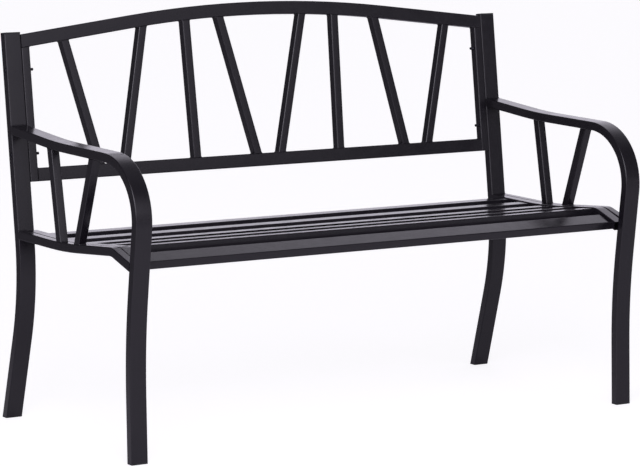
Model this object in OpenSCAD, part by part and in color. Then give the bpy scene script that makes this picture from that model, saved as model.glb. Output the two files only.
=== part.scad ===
// Garden bench of bent steel tube: two side frames, a slatted back panel and a slatted seat panel.
// Millimetres. X runs along the bench, the sitter looks towards -Y, Z is up from the floor.
// The side view is drawn first with the post's centre line at the seat as y = 0, then moved by to_centre.

/* [Bench] */
// Width over the two side frames
bench_w = 1270; // [1100:10:1600]
// Height of the side rails' top at the back of the seat
seat_h = 408.6; // [380:0.1:450]
// From the post's centre line forward to the seat's front edge, where the rails bend down
seat_depth = 393; // [360:0.5:450]
// Height of the arm's top where it is level
arm_h = 613.4; // [590:0.1:670]
// Height of the post above the seat, measured along its lean
post_rise = 432.2; // [400:0.1:480]
// Height of the back's highest point above the seat, measured along the lean
back_rise = 478.2; // [450:0.1:540]

/* [Main tube] */
// Width of the posts, legs and arms, across the side frame
tube_w = 38; // [30:0.5:45]
// Thickness of the posts, legs and arms, seen from the side
tube_t = 19; // [16:0.5:22]
// Wall of every tube
wall = 1.2; // [1:0.1:2]
// Outer corner radius of every tube
corner_r = 2.3; // [1.7:0.1:3]

/* [Rear post] */
// Lean of the post, backwards
post_lean = 8.68; // [6:0.01:11]
// Splay of the rear leg, backwards at its foot
rear_splay = 14; // [10:0.1:17]
// Bend between rear leg and post
post_bend_r = 542.7; // [400:0.1:600]

/* [Front leg and arm] */
// Forward place of the front foot, measured from the seat's front edge
foot_ahead = 79; // [60:0.5:100]
// Lean of the front leg's lower part, backwards going up
leg_low_lean = 3.16; // [2:0.01:5]
// Lean of the front leg's upper part, forwards going up
leg_high_lean = 5.53; // [3:0.01:7]
// Height at which the front leg begins to curve
leg_curve_h = 138.2; // [100:0.1:160]
// Radius of that long curve
leg_curve_r = 1321; // [1000:1:1500]
// Bend at the front end of the arm
arm_bend_r = 120.5; // [90:0.5:130]
// Distance ahead of the post's centre line at which the arm begins to rise
arm_level_end = 206.5; // [180:0.5:230]
// Rise of the arm's rear part
arm_rise = 4; // [2:0.1:6]
// Radius of the curve where the arm begins to rise
arm_curve_r = 1400; // [900:1:1500]

/* [Seat] */
// Width of a side rail
side_rail_w = 19; // [16:0.5:20]
// Width of an end rail of the seat panel
end_rail_w = 25; // [20:0.5:30]
// Height of the rails and thickness of the seat slats
rail_t = 18.4; // [14:0.1:19]
// Gap between seat panel and side rail
seat_gap = 0.5; // [0.4:0.1:1.5]
// Length of the rails' level stretch, from the post's centre line
seat_level = 141.5; // [120:0.5:160]
// Slope of the seat towards its front edge
seat_slope = 5.6; // [3:0.1:8]
// Radius of the seat's hollow, on the rails' top
seat_curve_r = 1170; // [800:1:1300]
// Slope of the side rails ahead of the seat's front edge, downwards
nose_slope = 16.5; // [10:0.1:20]
// Slope of the end rails ahead of the seat's front edge, downwards
end_nose_slope = 18.5; // [12:0.1:22]
// Radius of the seat's front edge, on the rails' top
nose_r = 50; // [35:0.5:60]
// Clear gap between an end rail's ends and the leg or post
end_rail_gap = 3; // [2:0.1:5]
// Width of a seat slat
slat_w = 31; // [25:0.5:35]
// Depth of the slats' tops below the rails' top
slat_drop = 2.4; // [0.5:0.1:5]
// Gap between the rearmost slat and the post's face
rear_slat_gap = 36.4; // [25:0.1:50]
// Distance from the seat's front edge back to the front slat but one
nose_slat_gap = 9.5; // [5:0.1:15]
// Width of the front slat
front_slat_w = 38; // [32:0.5:42]
// Tilt of the front slat
front_slat_tilt = 20.8; // [15:0.1:25]
// Distance from the seat's front edge forward to the front slat's back edge
front_slat_ahead = 21.5; // [20:0.5:27]
// Distance from the seat's front edge down to that edge
front_slat_drop = 12.2; // [10:0.1:14]

/* [Back panel] */
// Gap between the back panel and a post
panel_gap = 0.5; // [0.4:0.1:1.5]
// Width of a stile and of a back slat
back_slat_w = 19; // [16:0.5:22]
// Height of the top and bottom rails
back_rail_h = 28.5; // [22:0.5:34]
// Bottom edge of the bottom rail above the seat, measured along the lean
back_bottom = 117.7; // [100:0.1:140]
// Radius of the top rail's arch, on its top edge
arch_r = 2800; // [2200:10:3200]
// Slope of the arch's straight ends
arch_slope = 6.75; // [5:0.05:8]
// Offset of the eight slats to the right
slat_shift = 2.6; // [0:0.1:5]

/* [Arm slats] */
// Width of an arm slat, both ways
arm_slat_w = 19; // [14:0.5:19]
// Foot of the rear arm slat, ahead of the post's centre line
rear_arm_slat_foot = 179.5; // [165:0.5:190]
// Top of the rear arm slat, ahead of the post's centre line
rear_arm_slat_top = 134.5; // [125:0.5:150]
// Foot of the front arm slat, ahead of the post's centre line
front_arm_slat_foot = 248.5; // [240:0.5:270]
// Top of the front arm slat, ahead of the post's centre line
front_arm_slat_top = 313; // [295:0.5:320]

/* [Caps and feet] */
// Thickness of a post cap's rim
cap_t = 4; // [3:0.1:6]
// Thickness of a foot plug's rim
foot_t = 3; // [2:0.1:5]
// Length of the stems inside the tubes
stem_l = 16; // [10:1:25]
// Thickness of the stems' walls
stem_wall = 2; // [1.5:0.1:3]
// Clearance round the stems
stem_clear = 0.2; // [0.1:0.05:0.5]

/* [Fasteners] */
// Diameter of every bolt
bolt_d = 6; // [5:0.5:7]
// Clearance round a bolt in its hole
bolt_clear = 0.3; // [0.1:0.05:0.5]
// Height of the upper back bolts above the seat, measured along the lean
back_bolt_high = 353.5; // [320:0.5:370]
// Height of the lower back bolts above the seat, measured along the lean
back_bolt_low = 177; // [160:0.5:200]
// Bolt thread that shows past a stile
bolt_tip = 9; // [4:0.1:11]
// Rivet nut body beyond the wall that it is set in
rivet_nut_l = 11; // [8:0.5:13]

/* [Hidden] */
$fa = 1;
$fs = 0.7;
black = "#26262a";
plastic_black = "#1d1d1f";
fastener_black = "#323236";
// Overrun of every cutting solid past what it cuts
overrun = 1;
// Furthest that a step of a bend may stray from the true arc
bend_sag = 0.1;
// Fewest steps in a bend
bend_step_count = 4;
// Steps in one rounded corner of a tube
corner_steps = 4;
corner_turn = 90 / corner_steps;
frame_x = bench_w / 2 - tube_w / 2;
side_rail_x = bench_w / 2 - side_rail_w / 2;
end_rail_x = bench_w / 2 - side_rail_w - seat_gap - end_rail_w / 2;
seat_slat_l = 2 * end_rail_x - end_rail_w;
front_slat_l = 2 * end_rail_x + end_rail_w;
arm_slat_x = bench_w / 2 - arm_slat_w / 2;
panel_w = bench_w - 2 * tube_w - 2 * panel_gap;
stile_x = panel_w / 2 - back_slat_w / 2;
// Fastener sizes follow the bolt
head_d = 1.9 * bolt_d;
head_h = 0.3 * bolt_d;
tip_chamfer = 0.15 * bolt_d;
rivet_nut_d = 1.4 * bolt_d;
hex_key_d = 0.7 * bolt_d;
hex_key_depth = 0.4 * bolt_d;
seat_slat_count = 5;
// Places of the seat bolts as shares of the way from the rearmost slat to the front slat but one
seat_bolt_shares = [0.125, 0.625, 0.875];
// Places of the back slats on the bottom rail and under the arch, from the bench's middle outwards,
// as shares of half the panel's inner width
slat_foot_shares = [0.0542, 0.3236, 0.6305, 0.741];
slat_top_shares = [0.185, 0.334, 0.522, 0.856];

// A place on the side view: [y, z, heading], with the heading counted from +Y towards +Z.
// A run is a straight length and the bend after it: [length, bend radius, turn], left turns positive.
function ahead(place, d) = [place[0] + d * cos(place[2]), place[1] + d * sin(place[2]), place[2]];
function turned(place, r, turn) = let (s = sign(turn), h = place[2] + turn)
    [
        place[0] + s * r * (sin(h) - sin(place[2])),
        place[1] + s * r * (cos(place[2]) - cos(h)),
        h
    ];
function after(place, run) = turned(ahead(place, run[0]), run[1], run[2]);
function after_runs(place, runs, count) = count == 0
    ? place
    : after(after_runs(place, runs, count - 1), runs[count - 1]);
function beside(place, d) = [place[0] + d * sin(place[2]), place[1] - d * cos(place[2]), place[2]];

// The places that a bent tube passes through: the end of each straight length and the steps of each bend
function steps_in(r, turn) = max(bend_step_count, ceil(abs(turn) / (2 * acos(1 - bend_sag / r))));
function run_places(place, run) = let (bend = ahead(place, run[0]))
    run[2] == 0 ? [bend] : [
        for (step = [0 : steps_in(run[1], run[2])])
            turned(bend, run[1], run[2] * step / steps_in(run[1], run[2]))
    ];
function path(place, runs) = [
    place,
    for (i = [0 : len(runs) - 1])
        each run_places(after_runs(place, runs, i), runs[i])
];

// Rear leg and post, from the floor up
post_foot_z = seat_h - rail_t;
post_bend_turn = post_lean + rear_splay;
post_bend_h = post_bend_r * (sin(post_lean) + sin(rear_splay));
rear_leg_l = (post_foot_z - post_bend_h) / cos(rear_splay);
rear_foot_y = rear_leg_l * sin(rear_splay) + post_bend_r * (cos(post_lean) - cos(rear_splay));
rear_foot_place = [rear_foot_y, 0, 90 + rear_splay];
post_runs = [
    [rear_leg_l, post_bend_r, -post_bend_turn],
    [post_rise - cap_t, 0, 0]
];
post_place = [0, post_foot_z, 90 - post_lean];
post_face = beside(post_place, -tube_t / 2);

// Front leg and arm, from the floor up and back
leg_turn = leg_low_lean + leg_high_lean;
front_foot_place = [-seat_depth - foot_ahead, 0, 90 - leg_low_lean];
leg_low_run = [leg_curve_h / cos(leg_low_lean), leg_curve_r, leg_turn];
leg_high_place = after(front_foot_place, leg_low_run);
arm_turn = 90 + leg_high_lean;
arm_z = arm_h - tube_t / 2;
arm_bend_rise = arm_bend_r * (1 + sin(leg_high_lean));
leg_high_l = (arm_z - arm_bend_rise - leg_high_place[1]) / cos(leg_high_lean);
leg_high_run = [leg_high_l, arm_bend_r, -arm_turn];
arm_place = after(leg_high_place, leg_high_run);
arm_runs = [
    [-arm_level_end - arm_place[0], arm_curve_r, arm_rise],
    [arm_level_end, 0, 0]
];
leg_arm_runs = [leg_low_run, leg_high_run, arm_runs[0], arm_runs[1]];
leg_face = beside(leg_high_place, tube_t / 2);

// Rails, from the post forward
seat_ramp_l = (seat_depth - seat_level - seat_curve_r * sin(seat_slope)) / cos(seat_slope);
nose_z = seat_h + seat_curve_r * (1 - cos(seat_slope)) + seat_ramp_l * sin(seat_slope);
rail_place = [0, seat_h - rail_t / 2, 180];
function rail_runs(slope, reach) = [
    [seat_level, seat_curve_r + rail_t / 2, -seat_slope],
    [seat_ramp_l - reach, nose_r - rail_t / 2, seat_slope + slope],
    [foot_ahead / cos(slope) - reach, 0, 0]
];
nose_reach = nose_r * tan((seat_slope + nose_slope) / 2);
end_nose_reach = nose_r * tan((seat_slope + end_nose_slope) / 2);
side_rail_path = path(rail_place, rail_runs(nose_slope, nose_reach));
end_rail_path = path(rail_place, rail_runs(end_nose_slope, end_nose_reach));

// The seat's top line at a distance ahead of the post's centre line: [y, z, heading]
function seat_top(d) = let (
        curve_l = seat_curve_r * sin(seat_slope),
        slope = d <= seat_level ? 0
            : d >= seat_level + curve_l ? seat_slope
            : asin((d - seat_level) / seat_curve_r),
        ramp = max(0, d - seat_level - curve_l),
        z = seat_h + seat_curve_r * (1 - cos(slope)) + ramp * tan(seat_slope)
    )
    [-d, z, 180 - slope];
post_face_reach = tube_t / 2 / cos(post_lean);
slat_span = seat_depth - nose_slat_gap - rear_slat_gap - post_face_reach - slat_w;
slat_pitch = slat_span / (seat_slat_count - 1);
function slat_ahead(i) = seat_depth - nose_slat_gap - slat_w / 2 - slat_pitch * (seat_slat_count - 1 - i);
function bolt_ahead(share) = slat_ahead(share * (seat_slat_count - 1));
function slat_place(i) = beside(seat_top(slat_ahead(i)), -slat_drop - rail_t / 2);
front_slat_edge = [-seat_depth - front_slat_ahead, nose_z - front_slat_drop, 180 + front_slat_tilt];
front_slat_place = ahead(beside(front_slat_edge, -rail_t / 2), front_slat_w / 2);
function seat_bolt_place(share) = beside(seat_top(bolt_ahead(share)), -rail_t / 2);

// Back panel, in its own leaning plane with its height counted from the post's foot at the seat
arch_centre = back_rise - arch_r;
arch_mid_r = arch_r - back_rail_h / 2;
arch_low_r = arch_r - back_rail_h;
arch_end_l = (panel_w / 2 - arch_mid_r * sin(arch_slope)) / cos(arch_slope) + back_rail_h;
arch_turn_place = [
    -arch_mid_r * sin(arch_slope),
    arch_centre + arch_mid_r * cos(arch_slope),
    arch_slope
];
arch_place = ahead(arch_turn_place, -arch_end_l);
arch_runs = [
    [arch_end_l, arch_mid_r, -2 * arch_slope],
    [arch_end_l, 0, 0]
];
function arch_under(x) = abs(x) <= arch_low_r * sin(arch_slope)
    ? arch_centre + sqrt(arch_low_r * arch_low_r - x * x)
    : arch_centre + arch_low_r / cos(arch_slope) - abs(x) * tan(arch_slope);
back_inner_x = panel_w / 2 - back_slat_w;
back_rail_top = back_bottom + back_rail_h;

// Middle of the bench's depth, between the arm's front and the back rail's rear edge
arm_front_y = arm_place[0] - arm_bend_r - tube_t / 2;
back_rear_y = back_rise * sin(post_lean) + tube_t / 2 * cos(post_lean);
to_centre = -(arm_front_y + back_rear_y) / 2;

// Outline of a tube with rounded corners, a along the bend's radius and b across it
function rounded(a, b, r) = [
    for (corner = [0 : 3])
        for (step = [0 : corner_steps])
            let (
                sa = corner == 0 || corner == 3 ? 1 : -1,
                sb = corner < 2 ? 1 : -1,
                angle = corner * 90 + step * corner_turn
            )
            [sa * (a / 2 - r) + r * cos(angle), sb * (b / 2 - r) + r * sin(angle)]
];

module tube_section(a, b) {
    difference() {
        polygon(rounded(a, b, corner_r));
        polygon(rounded(a - 2 * wall, b - 2 * wall, corner_r - wall));
    }
}

// Puts a flat drawing onto the side view at x, facing along the place's heading
module on_side(x, place) {
    translate([x, place[0] + to_centre, place[1]])
        rotate([90, 0, 90])
            rotate([0, 0, place[2] - 90])
                children();
}

// Puts a piece into the back panel's plane: its X along the bench, Z up the lean, Y through the panel
module on_back() {
    translate([0, to_centre, post_foot_z])
        rotate([-post_lean, 0, 0])
            children();
}

// An outline set across the path at every place, a turned across the heading and b along X
function rings(places, outline) = [
    for (place = places)
        for (corner = outline)
            let (spot = beside(place, corner[0]))
            [corner[1], spot[0], spot[1]]
];
function walls(count, n, first, flip) = [
    for (i = [0 : count - 2])
        for (j = [0 : n - 1])
            let (a = first + i * n + j, b = first + i * n + (j + 1) % n)
            flip ? [a, a + n, b + n, b] : [a, b, b + n, a + n]
];

// A bent solid bar
module bent_bar(places, w, h) {
    outline = [[-w / 2, -h / 2], [w / 2, -h / 2], [w / 2, h / 2], [-w / 2, h / 2]];
    last = 4 * (len(places) - 1);
    polyhedron(
        rings(places, outline),
        concat(
            [[3, 2, 1, 0]],
            walls(len(places), 4, 0, false),
            [[last, last + 1, last + 2, last + 3]]
        )
    );
}

// A bent tube: its outer skin, its bore, and the two rims between them
module bent_tube(places, a, b) {
    outer = rounded(a, b, corner_r);
    bore = rounded(a - 2 * wall, b - 2 * wall, corner_r - wall);
    n = len(outer);
    count = len(places);
    last = n * (count - 1);
    inner = n * count;
    rims = [
        for (j = [0 : n - 1])
            let (k = (j + 1) % n)
            each [
                [j, inner + j, inner + k, k],
                [last + j, last + k, inner + last + k, inner + last + j]
            ]
    ];
    polyhedron(
        concat(rings(places, outer), rings(places, bore)),
        concat(walls(count, n, 0, false), walls(count, n, inner, true), rims)
    );
}

// Everything to the right of a place's heading, for cutting tubes on the side view
module cut_right(place, reach) {
    on_side(0, place)
        translate([0, -reach, -bench_w])
            cube([reach, 2 * reach, 2 * bench_w]);
}

module cut_below(h) {
    translate([-bench_w, -bench_w, -bench_w])
        cube([2 * bench_w, 2 * bench_w, bench_w + h]);
}

// Bolt holes through both posts, or through the inner walls of both stiles
module back_bolt_holes(r, x) {
    on_back()
        for (h = [back_bolt_low, back_bolt_high])
            translate([-x, 0, h])
                rotate([0, 90, 0])
                    cylinder(r = r, h = 2 * x);
}

// Side frames, drawn for the left and mirrored for the right

// Starts a leg below the floor, so that a level cut can give it a full end
function leg_path(place, runs) = concat([ahead(place, -tube_t)], path(place, runs));

module rear_post() {
    color(black)
        difference() {
            translate([-frame_x, to_centre, 0])
                bent_tube(leg_path(rear_foot_place, post_runs), tube_t, tube_w);
            cut_below(foot_t);
            back_bolt_holes(bolt_d / 2 + bolt_clear, bench_w / 2 + overrun);
        }
}

module front_leg_arm() {
    color(black)
        difference() {
            translate([-frame_x, to_centre, 0])
                bent_tube(leg_path(front_foot_place, leg_arm_runs), tube_t, tube_w);
            cut_below(foot_t);
            cut_right(post_face, post_rise);
        }
}

module side_rail() {
    color(black)
        difference() {
            translate([-side_rail_x, to_centre, 0])
                bent_tube(side_rail_path, rail_t, side_rail_w);
            cut_right(post_face, seat_level);
            cut_right([leg_face[0], leg_face[1], leg_face[2] + 180], seat_level);
            for (share = seat_bolt_shares)
                on_side(-side_rail_x, seat_bolt_place(share))
                    cylinder(r = rivet_nut_d / 2, h = side_rail_w);
        }
}

// A square tube from the rail's middle to the arm's middle, cut to the faces of both
module arm_slat(foot, top) {
    foot_top = seat_top(foot);
    low = [-foot, foot_top[1] - rail_t / 2];
    rise = max(0, arm_level_end - top) * tan(arm_rise);
    high = [-top, arm_z + rise];
    heading = atan2(high[1] - low[1], high[0] - low[0]);
    color(black)
        difference() {
            on_side(-arm_slat_x, [low[0], low[1], heading])
                rotate([-90, 0, 0])
                    linear_extrude(height = norm(high - low))
                        tube_section(arm_slat_w, arm_slat_w);
            translate([-frame_x, to_centre, 0])
                bent_bar(path(arm_place, arm_runs), tube_t, tube_w + 2 * overrun);
            translate([-frame_x, to_centre, 0])
                bent_bar(side_rail_path, rail_t, tube_w + 2 * overrun);
        }
}

module rear_arm_slat() {
    arm_slat(rear_arm_slat_foot, rear_arm_slat_top);
}

module front_arm_slat() {
    arm_slat(front_arm_slat_foot, front_arm_slat_top);
}

module stem(l) {
    a = tube_t - 2 * wall - 2 * stem_clear;
    b = tube_w - 2 * wall - 2 * stem_clear;
    difference() {
        linear_extrude(height = l)
            polygon(rounded(a, b, corner_r - wall));
        translate([0, 0, -overrun])
            linear_extrude(height = l + 2 * overrun)
                square([a - 2 * stem_wall, b - 2 * stem_wall], center = true);
    }
}

module post_cap() {
    color(plastic_black)
        on_side(-frame_x, ahead(post_place, post_rise - cap_t))
            rotate([-90, 0, 0]) {
                linear_extrude(height = cap_t)
                    polygon(rounded(tube_t, tube_w, corner_r));
                translate([0, 0, -stem_l])
                    stem(stem_l);
            }
}

// A plug whose rim carries on the leg's outline down to the floor
module foot_plug(place) {
    color(plastic_black) {
        intersection() {
            on_side(-frame_x, place)
                translate([0, -tube_t, 0])
                    rotate([-90, 0, 0])
                        linear_extrude(height = 3 * tube_t)
                            polygon(rounded(tube_t, tube_w, corner_r));
            translate([-bench_w, -bench_w, 0])
                cube([2 * bench_w, 2 * bench_w, foot_t]);
        }
        difference() {
            on_side(-frame_x, place)
                rotate([-90, 0, 0])
                    stem(foot_t + stem_l);
            cut_below(foot_t);
        }
    }
}

module rear_foot() {
    foot_plug(rear_foot_place);
}

module front_foot() {
    foot_plug(front_foot_place);
}

// Seat panel

// The outer outline of a slat that runs across the bench
module slat_bar(place, w, l) {
    on_side(-l / 2, place)
        linear_extrude(height = l)
            rotate(90)
                polygon(rounded(w, rail_t, corner_r));
}

// Notched from below over the front slat
module seat_end_rail() {
    color(black)
        difference() {
            translate([-end_rail_x, to_centre, 0])
                bent_tube(end_rail_path, rail_t, end_rail_w);
            slat_bar(front_slat_place, front_slat_w, bench_w);
            cut_right(beside(post_face, -end_rail_gap), seat_level);
            cut_right(
                [leg_face[0] + end_rail_gap, leg_face[1], leg_face[2] + 180],
                seat_level
            );
            for (share = seat_bolt_shares)
                on_side(-end_rail_x, seat_bolt_place(share))
                    translate([0, 0, -end_rail_w])
                        cylinder(r = bolt_d / 2 + bolt_clear, h = 2 * end_rail_w);
        }
}

module cross_slat(place, w, l) {
    color(black)
        on_side(-l / 2, place)
            linear_extrude(height = l)
                rotate(90)
                    tube_section(w, rail_t);
}

module seat_slat(i) {
    cross_slat(slat_place(i), slat_w, seat_slat_l);
}

module front_seat_slat() {
    cross_slat(front_slat_place, front_slat_w, front_slat_l);
}

// Back panel

// Turns a path's Y to the panel's X
module arch_plane() {
    on_back()
        rotate([0, 0, -90])
            children();
}

module arch_cutter() {
    arch_plane()
        bent_bar(path(arch_place, arch_runs), back_rail_h, tube_t + 2 * overrun);
}

module back_top_rail() {
    color(black)
        intersection() {
            arch_plane()
                bent_tube(path(arch_place, arch_runs), back_rail_h, tube_t);
            on_back()
                translate([-panel_w / 2, -tube_t, 0])
                    cube([panel_w, 2 * tube_t, back_rise + overrun]);
        }
}

module back_bottom_rail() {
    color(black)
        on_back()
            translate([-back_inner_x, 0, back_bottom + back_rail_h / 2])
                rotate([0, 90, 0])
                    linear_extrude(height = 2 * back_inner_x)
                        tube_section(back_rail_h, tube_t);
}

module back_stile() {
    color(black)
        difference() {
            on_back()
                translate([-stile_x, 0, back_bottom])
                    linear_extrude(height = arch_under(stile_x) + back_rail_h / 2 - back_bottom)
                        tube_section(back_slat_w, tube_t);
            arch_cutter();
            back_bolt_holes(bolt_d / 2 + bolt_clear, stile_x);
            difference() {
                back_bolt_holes(rivet_nut_d / 2, panel_w / 2 + overrun);
                translate([-stile_x, -bench_w, 0])
                    cube([2 * stile_x, 2 * bench_w, bench_w]);
            }
        }
}

// Slats are counted from the left. A slat runs from the bottom rail's middle to the arch's middle
module back_slat(i) {
    n = len(slat_foot_shares);
    side = i < n ? -1 : 1;
    place = i < n ? n - 1 - i : i - n;
    foot_x = side * slat_foot_shares[place] * back_inner_x + slat_shift;
    top_x = side * slat_top_shares[place] * back_inner_x + slat_shift;
    rise = arch_under(top_x) - back_rail_top;
    lean = atan2(top_x - foot_x, rise);
    length = norm([top_x - foot_x, rise]) + back_rail_h;
    color(black)
        difference() {
            on_back()
                translate([foot_x, 0, back_rail_top])
                    rotate([0, lean, 0])
                        translate([0, 0, -back_rail_h / 2])
                            linear_extrude(height = length)
                                tube_section(back_slat_w, tube_t);
            arch_cutter();
            on_back()
                translate([-panel_w / 2, -tube_t, back_bottom - back_rail_h])
                    cube([panel_w, 2 * tube_t, 2 * back_rail_h]);
        }
}

// Fasteners. Each is drawn along +Z from the face that its head sits on

module bolt(l) {
    difference() {
        rotate_extrude()
            polygon([
                [0, -head_h],
                [head_d / 3, -head_h],
                [head_d / 2, -head_h / 3],
                [head_d / 2, 0],
                [bolt_d / 2, 0],
                [bolt_d / 2, l - tip_chamfer],
                [bolt_d / 2 - tip_chamfer, l],
                [0, l]
            ]);
        translate([0, 0, -head_h - overrun])
            cylinder(r = hex_key_d / 2, h = hex_key_depth + overrun, $fn = 6);
    }
}

// A threaded bush whose rim fills the gap between the two pieces that the bolt joins
module rivet_nut(gap) {
    difference() {
        union() {
            cylinder(r = rivet_nut_d / 2 + gap, h = gap);
            cylinder(r = rivet_nut_d / 2, h = gap + rivet_nut_l);
        }
        translate([0, 0, -overrun])
            cylinder(r = bolt_d / 2, h = gap + rivet_nut_l + 2 * overrun);
    }
}

module at_back_bolts() {
    for (side = [-1, 1])
        for (h = [back_bolt_low, back_bolt_high])
            on_back()
                translate([side * bench_w / 2, 0, h])
                    rotate([0, -side * 90, 0])
                        children();
}

module at_seat_bolts(x) {
    for (side = [-1, 1])
        for (share = seat_bolt_shares)
            on_side(side * x, seat_bolt_place(share))
                rotate([0, side > 0 ? 0 : 180, 0])
                    children();
}

module back_bolts() {
    color(fastener_black)
        at_back_bolts()
            bolt(tube_w + panel_gap + back_slat_w + bolt_tip);
}

module back_rivet_nuts() {
    color(fastener_black)
        at_back_bolts()
            translate([0, 0, tube_w])
                rivet_nut(panel_gap);
}

module seat_bolts() {
    color(fastener_black)
        at_seat_bolts(end_rail_x - end_rail_w / 2)
            bolt(end_rail_w + seat_gap + rivet_nut_l);
}

module seat_rivet_nuts() {
    color(fastener_black)
        at_seat_bolts(end_rail_x + end_rail_w / 2)
            rivet_nut(seat_gap);
}

module right() {
    mirror([1, 0, 0])
        children();
}

rear_post();  // left_rear_post
right() rear_post();  // right_rear_post
front_leg_arm();  // left_front_leg_arm
right() front_leg_arm();  // right_front_leg_arm
side_rail();  // left_side_rail
right() side_rail();  // right_side_rail
rear_arm_slat();  // left_rear_arm_slat
right() rear_arm_slat();  // right_rear_arm_slat
front_arm_slat();  // left_front_arm_slat
right() front_arm_slat();  // right_front_arm_slat
post_cap();  // left_post_cap
right() post_cap();  // right_post_cap
rear_foot();  // left_rear_foot
right() rear_foot();  // right_rear_foot
front_foot();  // left_front_foot
right() front_foot();  // right_front_foot
back_top_rail();
back_bottom_rail();
back_stile();  // left_back_stile
right() back_stile();  // right_back_stile
back_slat(0);  // back_slat_1
back_slat(1);  // back_slat_2
back_slat(2);  // back_slat_3
back_slat(3);  // back_slat_4
back_slat(4);  // back_slat_5
back_slat(5);  // back_slat_6
back_slat(6);  // back_slat_7
back_slat(7);  // back_slat_8
seat_end_rail();  // left_seat_end_rail
right() seat_end_rail();  // right_seat_end_rail
seat_slat(0);  // seat_slat_1
seat_slat(1);  // seat_slat_2
seat_slat(2);  // seat_slat_3
seat_slat(3);  // seat_slat_4
seat_slat(4);  // seat_slat_5
front_seat_slat();
back_bolts();
back_rivet_nuts();
seat_bolts();
seat_rivet_nuts();
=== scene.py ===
# Garden bench of satin black powder-coated steel tube, in a pale studio.
# Metres; +X runs along the bench, the sitter looks towards -Y, Z is up from the floor.
import math
import random

import bmesh
import bpy
from mathutils import Matrix, Vector


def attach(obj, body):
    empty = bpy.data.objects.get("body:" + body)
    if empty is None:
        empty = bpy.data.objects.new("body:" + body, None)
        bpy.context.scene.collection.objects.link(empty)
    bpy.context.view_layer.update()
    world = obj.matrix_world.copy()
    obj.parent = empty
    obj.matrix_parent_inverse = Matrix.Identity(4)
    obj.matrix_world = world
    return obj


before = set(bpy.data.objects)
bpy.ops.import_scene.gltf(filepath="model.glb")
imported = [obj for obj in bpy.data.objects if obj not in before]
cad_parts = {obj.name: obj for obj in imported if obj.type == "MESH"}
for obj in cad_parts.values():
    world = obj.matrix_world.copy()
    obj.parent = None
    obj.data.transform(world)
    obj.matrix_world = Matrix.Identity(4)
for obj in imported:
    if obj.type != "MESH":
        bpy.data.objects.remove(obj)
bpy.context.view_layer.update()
scene = bpy.context.scene
mm = 0.001
print("frame loaded,", len(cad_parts), "nodes")

# Camera, at the photo's angle

cameraSettings = {
    "place": (-3.82968, -5.71506, 1.42509),
    "azimuth": -33.4977,  # degrees round the bench, 0 looks along +Y
    "elevation": 9.0317,
    "roll": 0.9060,
    "lens": 182.26,  # mm
    "sensor": 36,  # mm wide
    "shift": (0.02376, 0.03913),
    "reach": 200,  # m
}


def makeCamera(settings):
    azimuth = math.radians(settings["azimuth"])
    elevation = math.radians(settings["elevation"])
    roll = math.radians(settings["roll"])
    back = Vector((
        math.sin(azimuth) * math.cos(elevation),
        -math.cos(azimuth) * math.cos(elevation),
        math.sin(elevation),
    ))
    level = Vector((0, 0, 1)).cross(back).normalized()
    upright = back.cross(level)
    right = math.cos(roll) * level + math.sin(roll) * upright
    up = math.cos(roll) * upright - math.sin(roll) * level
    camera = bpy.data.objects.new("camera", bpy.data.cameras.new("camera"))
    turn = Matrix((right, up, back)).transposed()
    camera.matrix_world = Matrix.Translation(settings["place"]) @ turn.to_4x4()
    camera.data.sensor_width = settings["sensor"]
    camera.data.lens = settings["lens"]
    camera.data.shift_x, camera.data.shift_y = settings["shift"]
    camera.data.clip_end = settings["reach"]
    scene.collection.objects.link(camera)
    scene.camera = camera


makeCamera(cameraSettings)
scene.view_settings.view_transform = "Standard"
print("camera made")

# Helpers for nodes and colours


def toLinear(hexColour):  # sRGB hex to linear RGBA
    channels = [int(hexColour[i:i + 2], 16) / 255 for i in (1, 3, 5)]
    return [c / 12.92 if c <= 0.04045 else ((c + 0.055) / 1.055) ** 2.4 for c in channels] + [1]


# Adds a node. Settings are its properties or sockets; links are socket=source, i0 and i1 by number
def addNode(tree, kind, settings=None, **links):
    node = tree.nodes.new(kind)
    for name, value in (settings or {}).items():
        if hasattr(node, name):
            setattr(node, name, value)
        else:
            node.inputs[name].default_value = value
    for name, socket in links.items():
        key = int(name[1:]) if name[0] == "i" and name[1:].isdigit() else name.replace("_", " ")
        tree.links.new(socket, node.inputs[key])
    return node


def newMaterial(name):
    material = bpy.data.materials.new(name)
    material.use_nodes = True
    material.node_tree.nodes.clear()
    return material, material.node_tree


# Studio: a pale floor, walls and screens far away, and a soft lamp

studioSettings = {
    "floorSize": 120,  # m
    "floorColour": "#a8a6aa",  # as the camera sees it, under the glow
    "floorGlow": 0.8,  # added for the camera: near white, and just short of it in the shadow
    "paperPale": "#e4e2e6",  # what the bench mirrors of the floor, in front and to the right
    "paperPaintedShade": "#989799",  # and behind its left end: painted shade, a darker paper colour that stands in for the shade lying there
    "shadeWay": (-0.55, 0.83, 0),  # towards the back left
    "shadeFrom": 0.4,  # m that way, where the painted shade on the paper starts
    "shadeTo": 2.0,
    "tint": "#f6f1ff",  # of all the light
    "dim": 0.12,  # the dim studio between the panels
}
panels = {
    # name: middle azimuth, from straight behind the bench towards its right, half the panel's width
    # where it is full and where it ends, the same three for elevation (all in degrees), radiance
    "white_backdrop": (48, 30, 53, 10, 28, 42, 1.18),  # pale sheen on arms, seat slats and rails
    "front_screen": (200, 44, 56, 22, 12, 18, 1.5),  # the front faces' dark grey
    "front_wall_foot": (185, 50, 70, 0, 2, 6, 0.5),
    "left_softbox": (248, 10, 26, 6, 8, 20, 2.6),  # light lines along the upright edges
    "ceiling": (0, 180, 181, 90, 20, 50, 0.15),
}
lampSettings = {
    # place, aim, width, height, radiance
    "key": ((-1.8, -2.6, 2.6), (-0.4, -1.2, 0), 2.0, 2.0, 4.6),
}


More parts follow.
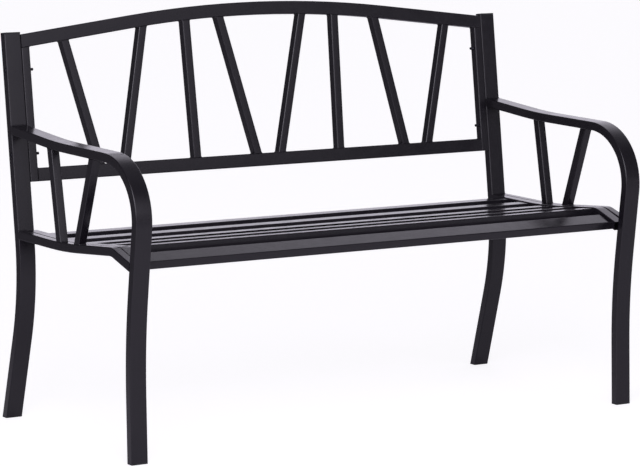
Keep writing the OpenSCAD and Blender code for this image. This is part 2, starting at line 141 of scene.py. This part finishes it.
def makeWorld(settings, panels):
    world = bpy.data.worlds.new("studio")
    world.use_nodes = True
    tree = world.node_tree
    tree.nodes.clear()
    direction = addNode(tree, "ShaderNodeTexCoord").outputs["Generated"]
    parts = addNode(tree, "ShaderNodeSeparateXYZ", i0=direction)
    azimuth = addNode(tree, "ShaderNodeMath", {"operation": "ARCTAN2"},
                      i0=parts.outputs["X"], i1=parts.outputs["Y"])
    elevation = addNode(tree, "ShaderNodeMath", {"operation": "ARCSINE"}, i0=parts.outputs["Z"])

    def nearness(angle, middle, full, end):  # 1 within full of the middle, 0 beyond end
        off = addNode(tree, "ShaderNodeMath", {"operation": "SUBTRACT"}, i0=angle.outputs[0])
        off.inputs[1].default_value = math.radians(middle)
        turned = addNode(tree, "ShaderNodeMath", {"operation": "WRAP"}, i0=off.outputs[0])
        turned.inputs[1].default_value, turned.inputs[2].default_value = math.pi, -math.pi
        size = addNode(tree, "ShaderNodeMath", {"operation": "ABSOLUTE"}, i0=turned.outputs[0])
        return addNode(tree, "ShaderNodeMapRange", {
            "interpolation_type": "SMOOTHSTEP",
            "From Min": math.radians(end), "From Max": math.radians(full),
        }, Value=size.outputs[0]).outputs["Result"]

    level = addNode(tree, "ShaderNodeValue").outputs[0]
    level.default_value = settings["dim"]
    for across, fullAcross, endAcross, up, fullUp, endUp, radiance in panels.values():
        panel = addNode(tree, "ShaderNodeMath", {"operation": "MULTIPLY"},
                        i0=nearness(azimuth, across, fullAcross, endAcross),
                        i1=nearness(elevation, up, fullUp, endUp))
        brighter = addNode(tree, "ShaderNodeMath", {"operation": "MULTIPLY_ADD"},
                           i0=panel.outputs[0], i2=level)
        brighter.inputs[1].default_value = radiance
        level = brighter.outputs[0]
    tint = toLinear(settings["tint"])
    lit = addNode(tree, "ShaderNodeBackground", {"Color": tint}, Strength=level)
    white = addNode(tree, "ShaderNodeBackground", {"Color": (1, 1, 1, 1)})
    ray = addNode(tree, "ShaderNodeLightPath")
    mixed = addNode(tree, "ShaderNodeMixShader", i0=ray.outputs["Is Camera Ray"],
                    i1=lit.outputs[0], i2=white.outputs[0])
    addNode(tree, "ShaderNodeOutputWorld", Surface=mixed.outputs[0])
    scene.world = world


def makeFloor(settings):
    half = settings["floorSize"] / 2
    mesh = bpy.data.meshes.new("floor")
    corners = [(-half, -half, 0), (half, -half, 0), (half, half, 0), (-half, half, 0)]
    mesh.from_pydata(corners, [], [(0, 1, 2, 3)])
    floor = bpy.data.objects.new("floor", mesh)
    scene.collection.objects.link(floor)
    material, tree = newMaterial("matt_paper_sweep")  # seamless paper: no sheen, no visible grain
    # Painted shade: in what the bench mirrors, the paper's colour darkens from pale to shade
    # towards the back left; the camera sees the plain floor colour
    place = addNode(tree, "ShaderNodeTexCoord")
    backLeft = addNode(tree, "ShaderNodeVectorMath", {"operation": "DOT_PRODUCT"},
                       i0=place.outputs["Object"])
    backLeft.inputs[1].default_value = settings["shadeWay"]
    shade = addNode(tree, "ShaderNodeMapRange", {
        "interpolation_type": "SMOOTHSTEP",
        "From Min": settings["shadeFrom"], "From Max": settings["shadeTo"],
    }, Value=backLeft.outputs["Value"])
    paintedShadeColour = addNode(tree, "ShaderNodeMixRGB", {
        "Color1": toLinear(settings["paperPale"]), "Color2": toLinear(settings["paperPaintedShade"]),
    }, i0=shade.outputs["Result"])
    ray = addNode(tree, "ShaderNodeLightPath")
    colour = addNode(tree, "ShaderNodeMixRGB", {"Color2": toLinear(settings["floorColour"])},
                     i0=ray.outputs["Is Camera Ray"], i1=paintedShadeColour.outputs[0])
    paper = addNode(tree, "ShaderNodeBsdfDiffuse", i0=colour.outputs[0])
    glow = addNode(tree, "ShaderNodeEmission", {"Color": (1, 1, 1, 1)})
    strength = addNode(tree, "ShaderNodeMath", {"operation": "MULTIPLY"},
                       i0=ray.outputs["Is Camera Ray"])
    strength.inputs[1].default_value = settings["floorGlow"]
    tree.links.new(strength.outputs[0], glow.inputs["Strength"])
    both = addNode(tree, "ShaderNodeAddShader", i0=paper.outputs[0], i1=glow.outputs[0])
    addNode(tree, "ShaderNodeOutputMaterial", Surface=both.outputs[0])
    mesh.materials.append(material)


def makeLamp(name, place, aim, width, height, radiance):
    lamp = bpy.data.lights.new(name, "AREA")
    lamp.shape = "RECTANGLE"
    lamp.size, lamp.size_y = width, height
    lamp.energy = radiance * math.pi * width * height
    lamp.color = toLinear(studioSettings["tint"])[:3]
    holder = bpy.data.objects.new(name, lamp)
    holder.location = place
    holder.rotation_mode = "QUATERNION"
    holder.rotation_quaternion = (Vector(place) - Vector(aim)).to_track_quat("Z", "Y")
    scene.collection.objects.link(holder)


makeWorld(studioSettings, panels)
makeFloor(studioSettings)
for lampName, lampValues in lampSettings.items():
    makeLamp(lampName, *lampValues)
print("studio made")

# Finishes

noiseSpan = (0.3, 0.7)  # most of a noise texture's values lie between these

coatSettings = {
    "colour": "#131116",  # jet black with a trace of violet
    "colourLight": "#17151a",
    "roughness": (0.21, 0.27),  # satin
    "cloudSize": 140,  # mm, how far apart the coat's thicker and thinner areas lie
    "patchSize": 140 / 6,  # mm, the same for its glossier and duller ones
    "peelSize": 1.6,  # mm; real orange peel is about 0.8 mm, drawn coarser so that it shows
    "peelHeight": 0.02,  # mm
}
plasticSettings = {
    "colour": "#161618",
    "roughness": (0.46, 0.56),
    "patchSize": 9.6,  # mm
    "grainSize": 1.2,  # mm; a real spark-eroded mould grain is about 0.3 mm, drawn coarser
    "grainHeight": 0.03,  # mm
}
boltSettings = {
    "colour": "#3a3a3f",
    "roughness": (0.34, 0.48),
    "patchSize": 3,  # mm
    "pitch": 1,  # mm from one thread crest to the next
    "threadDepth": 0.9,  # mm; the cut is shading alone, so it is drawn deeper than the real 0.6 mm
    "threadInside": 579,  # mm from the middle of the bench; only the back bolts' tips lie within
}


def unevenGloss(tree, place, size, span, detail):  # patches of size mm, rougher and less rough
    patches = addNode(tree, "ShaderNodeTexNoise", {"Scale": 1 / (size * mm), "Detail": detail},
                      Vector=place.outputs["Object"])
    return addNode(tree, "ShaderNodeMapRange", {
        "From Min": noiseSpan[0], "From Max": noiseSpan[1], "To Min": span[0], "To Max": span[1],
    }, Value=patches.outputs["Fac"]).outputs["Result"]


def powderCoat(name, values):
    # Powder-coated steel: an even satin black film, with faint orange peel that softens reflections
    material, tree = newMaterial(name)
    place = addNode(tree, "ShaderNodeTexCoord")
    clouds = addNode(tree, "ShaderNodeTexNoise", {"Scale": 1 / (values["cloudSize"] * mm)},
                     Vector=place.outputs["Object"])
    colour = addNode(tree, "ShaderNodeMixRGB", {
        "Color1": toLinear(values["colour"]), "Color2": toLinear(values["colourLight"]),
    }, i0=clouds.outputs["Fac"])
    rough = unevenGloss(tree, place, values["patchSize"], values["roughness"], 3)
    peel = addNode(tree, "ShaderNodeTexNoise", {"Scale": 1 / (values["peelSize"] * mm)},
                   Vector=place.outputs["Object"])
    bump = addNode(tree, "ShaderNodeBump", {"Strength": 1, "Distance": values["peelHeight"] * mm},
                   Height=peel.outputs["Fac"])
    coat = addNode(tree, "ShaderNodeBsdfPrincipled", {"IOR": 1.5, "Metallic": 0},
                   Base_Color=colour.outputs[0], Roughness=rough, Normal=bump.outputs["Normal"])
    addNode(tree, "ShaderNodeOutputMaterial", Surface=coat.outputs[0])
    return material


def mouldedPlastic(name, values):
    # Moulded polyethylene: duller than the coat, with the fine grain of a spark-eroded mould
    material, tree = newMaterial(name)
    place = addNode(tree, "ShaderNodeTexCoord")
    rough = unevenGloss(tree, place, values["patchSize"], values["roughness"], 2)
    grain = addNode(tree, "ShaderNodeTexVoronoi", {"Scale": 1 / (values["grainSize"] * mm)},
                    Vector=place.outputs["Object"])
    bump = addNode(tree, "ShaderNodeBump", {"Strength": 1, "Distance": values["grainHeight"] * mm},
                   Height=grain.outputs["Distance"])
    plastic = addNode(tree, "ShaderNodeBsdfPrincipled", {
        "Base Color": toLinear(values["colour"]), "IOR": 1.5,
    }, Roughness=rough, Normal=bump.outputs["Normal"])
    addNode(tree, "ShaderNodeOutputMaterial", Surface=plastic.outputs[0])
    return material


def blackZinc(name, values):
    # Black passivated zinc on steel: a dark metal sheen, cloudy, with the thread cut round the tips
    material, tree = newMaterial(name)
    place = addNode(tree, "ShaderNodeTexCoord")
    rough = unevenGloss(tree, place, values["patchSize"], values["roughness"], 2)
    parts = addNode(tree, "ShaderNodeSeparateXYZ", i0=place.outputs["Object"])
    turns = addNode(tree, "ShaderNodeMath", {"operation": "MULTIPLY"}, i0=parts.outputs["X"])
    turns.inputs[1].default_value = 1 / (values["pitch"] * mm)
    crest = addNode(tree, "ShaderNodeMath", {"operation": "PINGPONG"}, i0=turns.outputs[0])
    crest.inputs[1].default_value = 0.5  # up for half a turn, down for the other half
    side = addNode(tree, "ShaderNodeMath", {"operation": "ABSOLUTE"}, i0=parts.outputs["X"])
    tip = addNode(tree, "ShaderNodeMath", {"operation": "LESS_THAN"}, i0=side.outputs[0])
    tip.inputs[1].default_value = values["threadInside"] * mm
    cut = addNode(tree, "ShaderNodeMath", {"operation": "MULTIPLY"},
                  i0=crest.outputs[0], i1=tip.outputs[0])
    bump = addNode(tree, "ShaderNodeBump", {"Strength": 1, "Distance": values["threadDepth"] * mm},
                   Height=cut.outputs[0])
    zinc = addNode(tree, "ShaderNodeBsdfPrincipled", {
        "Base Color": toLinear(values["colour"]), "Metallic": 1,
    }, Roughness=rough, Normal=bump.outputs["Normal"])
    addNode(tree, "ShaderNodeOutputMaterial", Surface=zinc.outputs[0])
    return material


finishes = {
    "powder_coated_steel": powderCoat("satin_powder_coated_steel", coatSettings),
    "moulded_plastic": mouldedPlastic("matt_moulded_plastic", plasticSettings),
    "black_zinc_steel": blackZinc("black_zinc_plated_steel", boltSettings),
}
print("finishes made")

# The tubes come from the CAD. Their facets are shaded as the smooth bends that they stand for

bendSettings = {
    "sharpFrom": 30,  # degrees between two facets that meet in a real edge
    "joinWithin": 0.01,  # mm
}


def smoothGroup(settings):
    tree = bpy.data.node_groups.new("smooth_bends", "GeometryNodeTree")
    tree.interface.new_socket("Geometry", in_out="INPUT", socket_type="NodeSocketGeometry")
    tree.interface.new_socket("Geometry", in_out="OUTPUT", socket_type="NodeSocketGeometry")
    start = addNode(tree, "NodeGroupInput")
    plain = addNode(tree, "GeometryNodeRemoveAttribute", {"Name": "custom_normal"},
                    i0=start.outputs[0])
    joined = addNode(tree, "GeometryNodeMergeByDistance", {"Distance": settings["joinWithin"] * mm},
                     i0=plain.outputs[0])
    smooth = addNode(tree, "GeometryNodeSetShadeSmooth", {"domain": "FACE"}, i0=joined.outputs[0])
    bend = addNode(tree, "GeometryNodeInputMeshEdgeAngle")
    soft = addNode(tree, "FunctionNodeCompare", {
        "operation": "LESS_THAN", "B": math.radians(settings["sharpFrom"]),
    }, A=bend.outputs["Unsigned Angle"])
    edges = addNode(tree, "GeometryNodeSetShadeSmooth", {"domain": "EDGE"}, i0=smooth.outputs[0])
    tree.links.new(soft.outputs[0], edges.inputs["Shade Smooth"])
    addNode(tree, "NodeGroupOutput", i0=edges.outputs[0])
    return tree


smoothBends = smoothGroup(bendSettings)
slotOf = dict.fromkeys([
    "left_post_cap", "right_post_cap", "left_rear_foot", "right_rear_foot",
    "left_front_foot", "right_front_foot",
], "moulded_plastic")
slotOf.update(dict.fromkeys(
    ["back_bolts", "back_rivet_nuts", "seat_bolts", "seat_rivet_nuts"], "black_zinc_steel"))
for nodeName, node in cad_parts.items():
    shading = node.modifiers.new("smooth_bends", "NODES")
    shading.node_group = smoothBends
    weighted = node.modifiers.new("flat_faces", "WEIGHTED_NORMAL")
    weighted.mode = "FACE_AREA_WITH_ANGLE"
    weighted.keep_sharp = True
    slotName = slotOf.get(nodeName, "powder_coated_steel")
    for slot in node.material_slots:
        slot.material = finishes[slotName]
print("tubes finished")

# Weld beads, where one tube butts against another. Each follows an edge of the tube's end

weldSettings = {
    "radius": 1.7,  # mm
    "ripple": 2.3,  # mm from one ripple to the next
    "rippleDepth": 0.16,  # share of the radius
    "spread": 0.08,  # how much fuller or thinner one bead is than the next, as a share
    "endShare": 0.6,  # a bead's radius where it starts and stops, as a share
    "endGrowth": 0.5,  # share by which it grows within one radius from there
    "step": 0.75,  # mm between two rings of a bead
    "sides": 8,
    "joinWithin": 0.01,  # mm
    "touchWithin": 0.001,  # mm
    "endDepth": 12,  # mm, how far back from its furthest face a tube's end can reach
    "endFacing": 0.6,  # how squarely, as a cosine, a face of a tube's end faces the end's way
    "edgeFacing": 0.8,  # and an edge its side
    "aside": (0.31, 0.57, 0.76),  # along none of the edges, to turn a bead's rings from
    "seed": 11,
}
toLeft, toRight, toFront, toRear, toTop, toFloor = [
    Vector(way) for way in ((-1, 0, 0), (1, 0, 0), (0, -1, 0), (0, 1, 0), (0, 0, 1), (0, 0, -1))
]
weldPlan = [
    # piece, nodes, which ends, which edges of those ends
    ("back_welds", ["back_slat_%d" % i for i in range(1, 9)],
     (toTop, toFloor), (toLeft, toRight)),
    ("back_welds", ["left_back_stile"], (toTop,), (toRight,)),
    ("back_welds", ["right_back_stile"], (toTop,), (toLeft,)),
    ("back_welds", ["back_bottom_rail"], (toLeft, toRight), (toTop,)),
    ("seat_welds", ["seat_slat_%d" % i for i in range(1, 6)], (toLeft, toRight), (toFloor,)),
    ("frame_welds", ["left_side_rail", "right_side_rail"], (toFront, toRear), (toTop,)),
    ("frame_welds", ["left_side_rail"], (toRear,), (toRight,)),
    ("frame_welds", ["right_side_rail"], (toRear,), (toLeft,)),
    ("frame_welds", ["left_front_leg_arm", "right_front_leg_arm"], (toRear,), (toTop, toFloor)),
    ("frame_welds", ["left_rear_arm_slat", "right_rear_arm_slat"],
     (toTop, toFloor), (toFront, toRear)),
    ("frame_welds", ["left_front_arm_slat", "right_front_arm_slat"],
     (toTop, toFloor), (toFront, toRear)),
]


def endOutline(node, way, settings):  # the outer outline of a tube's end, a closed list of points
    mesh = bmesh.new()
    mesh.from_mesh(node.data)
    mesh.transform(node.matrix_world)
    bmesh.ops.remove_doubles(mesh, verts=mesh.verts, dist=settings["joinWithin"] * mm)
    facing = [face for face in mesh.faces if face.normal.dot(way) > settings["endFacing"]]
    reach = max(face.calc_center_median().dot(way) for face in facing)
    nearest = reach - settings["endDepth"] * mm
    rim = {face for face in facing if face.calc_center_median().dot(way) > nearest}
    left = [edge for edge in mesh.edges if len(rim.intersection(edge.link_faces)) == 1]
    outlines = []
    while left:
        edge = left.pop(0)
        points = [edge.verts[0], edge.verts[1]]
        while True:
            onward = [other for other in left if points[-1] in other.verts]
            if not onward:
                break
            left.remove(onward[0])
            points.append(onward[0].other_vert(points[-1]))
        outlines.append([point.co.copy() for point in points])
    mesh.free()
    return max(outlines, key=lambda points: sum((a - b).length for a, b in zip(points, points[1:])))


def edgeRuns(points, way, side, settings):  # the parts of an end outline that face one side
    middle = sum(points[1:], Vector()) / (len(points) - 1)
    touching = settings["touchWithin"] * mm
    runs = []
    for a, b in zip(points, points[1:]):
        outward = (b - a).cross(way).normalized()
        if outward.dot(a - middle) < 0:
            outward.negate()
        if outward.dot(side) < settings["edgeFacing"]:
            continue
        if runs and (runs[-1][-1] - a).length < touching:
            runs[-1].append(b)
        else:
            runs.append([a, b])
    if len(runs) > 1 and (runs[-1][-1] - runs[0][0]).length < touching:
        runs[0] = runs.pop() + runs[0][1:]
    return runs


def alongRun(run, step):  # places about one step apart
    places = [run[0]]
    for a, b in zip(run, run[1:]):
        count = max(1, round((b - a).length / step))
        places += [a.lerp(b, i / count) for i in range(1, count + 1)]
    return places


def addBead(mesh, run, settings, chance):  # a tube of rings whose radius ripples along the run
    places = alongRun(run, settings["step"] * mm)
    sides, length, rings = settings["sides"], 0, []
    total = sum((b - a).length for a, b in zip(places, places[1:]))
    size = settings["radius"] * mm * chance.uniform(1 - settings["spread"], 1 + settings["spread"])
    start = chance.uniform(0, math.pi)
    for i, place in enumerate(places):
        if i:
            length += (place - places[i - 1]).length
        heading = (places[min(i + 1, len(places) - 1)] - places[max(i - 1, 0)]).normalized()
        across = heading.cross(Vector(settings["aside"])).normalized()
        other = heading.cross(across)
        ripple = abs(math.cos(start + math.pi * length / (settings["ripple"] * mm)))
        fromEnd = min(length, total - length) / (settings["radius"] * mm)
        fullness = min(1, settings["endShare"] + settings["endGrowth"] * fromEnd)
        radius = size * (1 - settings["rippleDepth"] * ripple) * fullness
        rings.append([
            mesh.verts.new(place + radius * (math.cos(turn) * across + math.sin(turn) * other))
            for turn in (2 * math.pi * j / sides for j in range(sides))
        ])
    for near, far in zip(rings, rings[1:]):
        for j in range(sides):
            k = (j + 1) % sides
            mesh.faces.new((near[j], near[k], far[k], far[j]))
    mesh.faces.new(rings[0][::-1])
    mesh.faces.new(rings[-1])


def makeWelds(plan, settings):
    chance = random.Random(settings["seed"])
    beads = {}
    for pieceName, nodeNames, ways, edgeSides in plan:
        if pieceName not in beads:
            beads[pieceName] = bmesh.new()
        mesh = beads[pieceName]
        for nodeName in nodeNames:
            for way in ways:
                outline = endOutline(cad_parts[nodeName], way, settings)
                for side in edgeSides:
                    for run in edgeRuns(outline, way, side, settings):
                        addBead(mesh, run, settings, chance)
    for pieceName, mesh in beads.items():
        bmesh.ops.recalc_face_normals(mesh, faces=mesh.faces)
        for face in mesh.faces:
            face.smooth = True
        data = bpy.data.meshes.new(pieceName)
        mesh.to_mesh(data)
        mesh.free()
        data.materials.append(finishes["powder_coated_steel"])
        piece = bpy.data.objects.new(pieceName, data)
        scene.collection.objects.link(piece)
        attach(piece, "root")
        print(pieceName, len(data.vertices), "points")


makeWelds(weldPlan, weldSettings)
print("welds made")
